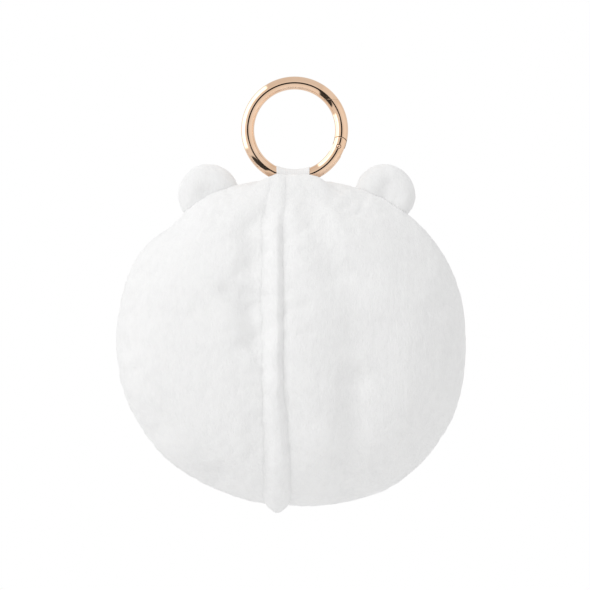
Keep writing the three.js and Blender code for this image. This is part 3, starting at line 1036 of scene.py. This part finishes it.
def combined(mesh, operation, other):
    """Two solid meshes put together by UNION, DIFFERENCE or INTERSECT."""
    tool = bpy.data.objects.new("tool", other)
    bpy.context.scene.collection.objects.link(tool)
    result = with_modifier(mesh, "BOOLEAN", operation=operation, object=tool, solver="EXACT")
    bpy.data.objects.remove(tool)
    return result


def gate_sector(level):
    """The stretch of the wire that opens: from the hinge's radius up to a level cut."""
    inside, outside = 0.6 * RING_RADIUS, 1.5 * RING_RADIUS
    hinge = [(r * math.cos(HINGE_ANGLE), r * math.sin(HINGE_ANGLE)) for r in (inside, outside)]
    return prism(hinge + [(outside, level), (0.45 * RING_RADIUS, level)], THROUGH)


def bar(radius):
    """A round bar through the wire, along the hinge pin."""
    return prism(disc_outline(radius), THROUGH)


def slab(half):
    """A slab wider than the ring, thickened by half each way along Y."""
    size = 2 * RING_RADIUS
    return prism([(-size, -size), (size, -size), (size, size), (-size, size)], half)


def ring_fixed_mesh():
    """The fixed stretch of the wire, with two cheeks at the hinge."""
    cheeks = combined(whole_wire(), "INTERSECT", bar(CHEEK_RADIUS))
    slot = combined(slab(TONGUE_HALF + RING_GAP), "INTERSECT", bar(CHEEK_RADIUS + RING_GAP))
    fixed = combined(whole_wire(), "DIFFERENCE", gate_sector(LATCH_Z + LATCH_GAP))
    fixed = combined(fixed, "UNION", cheeks)
    fixed = combined(fixed, "DIFFERENCE", slot)
    return combined(fixed, "DIFFERENCE", bar(PIN_RADIUS + PIN_GAP))


def ring_gate_mesh():
    """The stretch of the wire that opens, with its tongue between the cheeks."""
    reach = combined(whole_wire(), "INTERSECT", gate_sector(LATCH_Z - LATCH_GAP))
    arm = combined(reach, "DIFFERENCE", bar(CHEEK_RADIUS + RING_GAP))
    tongue = combined(bar(TONGUE_RADIUS), "INTERSECT", slab(TONGUE_HALF))
    neck = combined(reach, "INTERSECT", slab(TONGUE_HALF))
    gate = combined(combined(arm, "UNION", neck), "UNION", tongue)
    return combined(gate, "DIFFERENCE", bar(PIN_RADIUS + TONGUE_PLAY))


def add_metal(name, mesh, body, node):
    """A plated metal piece with lightly rounded edges."""
    mesh = with_modifier(mesh, "BEVEL", width=EDGE, segments=2, limit_method="ANGLE",
                         angle_limit=math.radians(40), use_clamp_overlap=True)
    add_piece(name, mesh, "metal", body, node)
    mesh.set_sharp_from_angle(angle=math.radians(38))


def pin_mesh():
    """The hinge's pin, with low domed ends."""
    rings = [(-PIN_HALF - 0.10 * MM, 0.15), (-PIN_HALF - 0.07 * MM, 0.7), (-PIN_HALF + 0.03 * MM, 1.0)]
    rings += [(-y, share) for y, share in reversed(rings)]
    sections = [[(x, y, z) for x, z in disc_outline(share * PIN_RADIUS, 40)] for y, share in rings]
    return tube("pin", np.array(sections))


add_metal("ring_fixed", ring_fixed_mesh(), "ring", "ring_body")
add_metal("ring_gate_arm", ring_gate_mesh(), "gate", "ring_gate")
add_metal("ring_pin", pin_mesh(), "ring", "gate_pin")
add_tab()

# ---------------------------------------------------------------- face

FACE_LEAN = 0.35                 # how much a piece at the face's edge leans outwards
EYE_RADIUS = 4 * MM
EYE_DOME = 3 * MM
SHANK_RADIUS = 1.2 * MM
SHANK_END = -6.5 * MM            # heights are over the skin
WASHER_BORE = 1.3 * MM
WASHER_RIM = 5 * MM
WASHER_LOW = -2.9 * MM
WASHER_HIGH = -2.0 * MM
WASHER_ROUND = 0.2 * MM
NOSE_HALF_DEPTH = 1.3 * MM
SATIN_STITCH = (0.55 * MM, 0.16 * MM)    # one stitch's width and height
MOUTH_RADIUS = 0.42 * MM


def on_front(x, z):
    """The place on the skin's front at an X and Z."""
    return skin_tree.ray_cast(Vector((x, 0, z)), Vector((0, 1, 0)))[0]


def turned_on_face(node, rings, sides=64):
    """A round piece at a CAD node on the face: rings are (height over the skin, radius) pairs."""
    middle = box_middle(node)
    surface = on_front(middle.x, middle.z)
    lean = Vector((middle.x - BODY_CENTRE.x, 0, middle.z - BODY_CENTRE.z)) / HALF_WIDTH * FACE_LEAN
    turn_to = (Vector((0, 1, 0)) + lean).normalized().to_track_quat("Y", "Z").to_matrix()
    sections = np.array([[surface + turn_to @ Vector((r * math.cos(t), y, r * math.sin(t)))
                          for t in full_turn(sides)] for y, r in rings])
    return tube(node, sections)


def add_eye(side):
    """A domed button with a rolled edge and the shank through the panel."""
    seat, edge = -0.3 * MM, 0.2 * MM
    rise = np.linspace(0, math.pi / 2, 18)[:-1]
    rings = [(SHANK_END, 0.75 * SHANK_RADIUS), (SHANK_END, SHANK_RADIUS), (seat, SHANK_RADIUS)]
    rings += [(seat, EYE_RADIUS * 0.93), (-0.1 * MM, EYE_RADIUS * 0.98)]
    rings += [(EYE_DOME * math.sin(a) + edge, EYE_RADIUS * math.cos(a)) for a in rise]
    rings += [(EYE_DOME + edge, EYE_RADIUS * 0.03)]
    mesh = turned_on_face(f"eye_{side}", rings)
    add_piece(f"eye_button_{side}", mesh, "black", "plush", f"eye_{side}")


def add_washer(side):
    """The washer pressed on the eye's shank, behind the panel."""
    rings = [(WASHER_LOW, WASHER_BORE), (WASHER_LOW, WASHER_RIM - WASHER_ROUND)]
    rings += [(WASHER_LOW + WASHER_ROUND, WASHER_RIM), (WASHER_HIGH - WASHER_ROUND, WASHER_RIM)]
    rings += [(WASHER_HIGH, WASHER_RIM - WASHER_ROUND), (WASHER_HIGH, WASHER_BORE)]
    mesh = turned_on_face(f"eye_{side}", rings, sides=48)
    add_piece(f"washer_{side}", mesh, "washer", "plush", f"eye_washer_{side}")


def add_nose():
    """An oval pad of close upright satin stitches."""
    low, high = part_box("nose")
    middle = box_middle("nose")
    half = np.array([(high.x - low.x) / 2, NOSE_HALF_DEPTH, (high.z - low.z) / 2])
    mesh = ball_mesh(5)
    points = coordinates(mesh)
    width, height = SATIN_STITCH
    stitches = np.abs(np.sin(math.pi * points[:, 0] * half[0] / width))
    points = points * half + points * (height * (stitches - 0.5))[:, None]
    points += np.array([middle.x, on_front(middle.x, middle.z).y + 0.1 * MM, middle.z])
    set_coordinates(mesh, points)
    add_piece("nose_pad", mesh, "stitches", "plush", "nose")


def add_mouth():
    """Two shallow curves of twisted thread that meet under the nose."""
    low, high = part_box("mouth_stitch")
    middle = (low.x + high.x) / 2
    half = (high.x - low.x) / 2 - MOUTH_RADIUS
    sag = high.z - low.z - 2 * MOUTH_RADIUS
    shares = np.linspace(-1, 1, 161)
    drop = sag * np.abs(np.sin(math.pi * shares)) ** 0.8
    places = []
    for share, fall in zip(shares, drop):
        places.append(on_front(middle + half * share, high.z - MOUTH_RADIUS - fall))
    places = smoothed(np.array(places), 4) + np.array([0, 0.2 * MM, 0])
    outwards = np.tile([0.0, 1.0, 0.0], (len(places), 1))
    mesh = yarn("mouth", places, outwards, MOUTH_RADIUS, strands=2, depth=0.16, twist=0.35, sides=16)
    add_piece("mouth_thread", mesh, "stitches", "plush", "mouth_stitch")


for side in ("left", "right"):
    add_eye(side)
    add_washer(side)
add_nose()
add_mouth()

# ---------------------------------------------------------------- carried-over nodes

give_material("gate_spring", MATERIALS["steel"])

# ---------------------------------------------------------------- camera, light and floor

PICTURE_WIDTH = 182 * MM
LENS = 200
SENSOR = 36
CAMERA_DISTANCE = PICTURE_WIDTH * LENS / SENSOR
CAMERA_TARGET = Vector((0.1 * MM, 0, -50.9 * MM))
WORLD_LIGHT = 0.79
MIRRORED_LIGHT = 0.85            # the surroundings as metal sees them, apart from the patches below
PATCH_EDGE = 2                   # half-width of a patch's soft edge in degrees
FLOOR_RADIUS = 0.6
FLOOR_DROP = 90 * MM             # how far below the object the floor is


def add_camera():
    """The camera, level and straight behind the head."""
    data = bpy.data.cameras.new("camera")
    data.lens = LENS
    data.sensor_width = SENSOR
    data.clip_start = 0.05
    camera = bpy.data.objects.new("camera", data)
    bpy.context.scene.collection.objects.link(camera)
    camera.location = CAMERA_TARGET - Vector((0, CAMERA_DISTANCE, 0))
    camera.rotation_euler = (math.pi / 2, 0, 0)
    bpy.context.scene.camera = camera


def add_area_light(name, place, size, power):
    """A square lamp that faces the object and isn't mirrored in its metal."""
    data = bpy.data.lights.new(name, "AREA")
    data.size = size
    data.energy = power
    light = bpy.data.objects.new(name, data)
    bpy.context.scene.collection.objects.link(light)
    light.location = place
    light.visible_glossy = False
    light.rotation_euler = (CAMERA_TARGET - Vector(place)).to_track_quat("-Z", "Y").to_euler()


def patch(tree, azimuth, tilt, facing, half_angle, tilt_low, tilt_high):
    """1 in a patch of the surroundings and 0 outside it. facing and half_angle are in the XZ plane and the
    tilts are from -Y, all in degrees."""
    wide, narrow = (math.cos(math.radians(half_angle + edge)) for edge in (PATCH_EDGE, -PATCH_EDGE))
    low, above_low = (math.radians(tilt_low + edge) for edge in (-PATCH_EDGE, PATCH_EDGE))
    high, above_high = (math.radians(tilt_high + edge) for edge in (-PATCH_EDGE, PATCH_EDGE))
    close = calculate(tree, "COSINE", calculate(tree, "SUBTRACT", azimuth, math.radians(facing)))
    within = smooth_share(tree, close, wide, narrow)
    over = smooth_share(tree, tilt, low, above_low)
    under = smooth_share(tree, tilt, high, above_high, falling=True)
    return calculate(tree, "MULTIPLY", calculate(tree, "MULTIPLY", within, over), under)


# What polished metal reflects: the direction in the XZ plane, half-width and two tilts of patch(), and how
# much lighter or darker the patch is.
REFLECTED = (
    (0, 176, -5, 13, -0.83),         # the camera's dark stand
    (221, 12, 13, 74, -0.80),        # a dark panel to the lower left
    (160, 38, 50, 122, 1.5),         # a soft box on the left
    (90, 32, 30, 150, -0.08),        # a dimmer ceiling
    (0, 34, 40, 90, 0.10),           # a reflector on the right
    (285, 50, 40, 110, 0.08),        # the lit floor
)


def add_world():
    """White surroundings: full white to the camera, dimmer as light, and a studio in reflections."""
    world = bpy.data.worlds.new("studio")
    bpy.context.scene.world = world
    world.use_nodes = True
    tree = world.node_tree
    light = tree.nodes["Background"]
    light.inputs["Color"].default_value = (1, 1, 1, 1)
    light.inputs["Strength"].default_value = WORLD_LIGHT
    direction = add_node(tree, "ShaderNodeTexCoord").outputs["Generated"]
    parts = add_node(tree, "ShaderNodeSeparateXYZ", [("Vector", direction)])
    tilt = calculate(tree, "ARCCOSINE", calculate(tree, "MULTIPLY", parts.outputs["Y"], -1))
    azimuth = calculate(tree, "ARCTAN2", parts.outputs["Z"], parts.outputs["X"])
    strength = MIRRORED_LIGHT
    for *place, gain in REFLECTED:
        strength = calculate(tree, "MULTIPLY_ADD", patch(tree, azimuth, tilt, *place), gain, strength)
    mirrored = add_node(tree, "ShaderNodeBackground", [("Strength", strength)], Color=(1, 0.965, 0.92, 1))
    seen = add_node(tree, "ShaderNodeBackground", Strength=1.0, Color=(1, 1, 1, 1))
    path = add_node(tree, "ShaderNodeLightPath")
    glossy = add_node(tree, "ShaderNodeMixShader", [
        (0, path.outputs["Is Glossy Ray"]), (1, light.outputs[0]), (2, mirrored.outputs[0])])
    mix = add_node(tree, "ShaderNodeMixShader", [
        (0, path.outputs["Is Camera Ray"]), (1, glossy.outputs[0]), (2, seen.outputs[0])])
    tree.links.new(mix.outputs[0], tree.nodes["World Output"].inputs["Surface"])


def add_floor():
    """A plain pale floor under the object that fades into the white at its rim."""
    mesh = bpy.data.meshes.new("floor")
    work = bmesh.new()
    bmesh.ops.create_circle(work, cap_ends=True, segments=96, radius=FLOOR_RADIUS)
    work.to_mesh(mesh)
    work.free()
    mat, tree, shader = make_material("floor", Base_Color=(0.93, 0.93, 0.93, 1), Roughness=0.9)
    place = object_place(tree)
    run = add_node(tree, "ShaderNodeVectorMath", [(0, place)], operation="LENGTH").outputs["Value"]
    fade = smooth_share(tree, run, 0.2 * FLOOR_RADIUS, 0.98 * FLOOR_RADIUS, falling=True)
    tree.links.new(fade, shader.inputs["Alpha"])
    floor = add_object("floor", mesh, mat)
    floor.location = (0, 0, CAD_LOW.z - FLOOR_DROP)
    floor.visible_glossy = False


add_camera()
add_world()
add_floor()
add_area_light("key", place=(-0.66, -0.52, 0.60), size=0.4, power=2.75)
bpy.context.scene.view_settings.view_transform = "Standard"
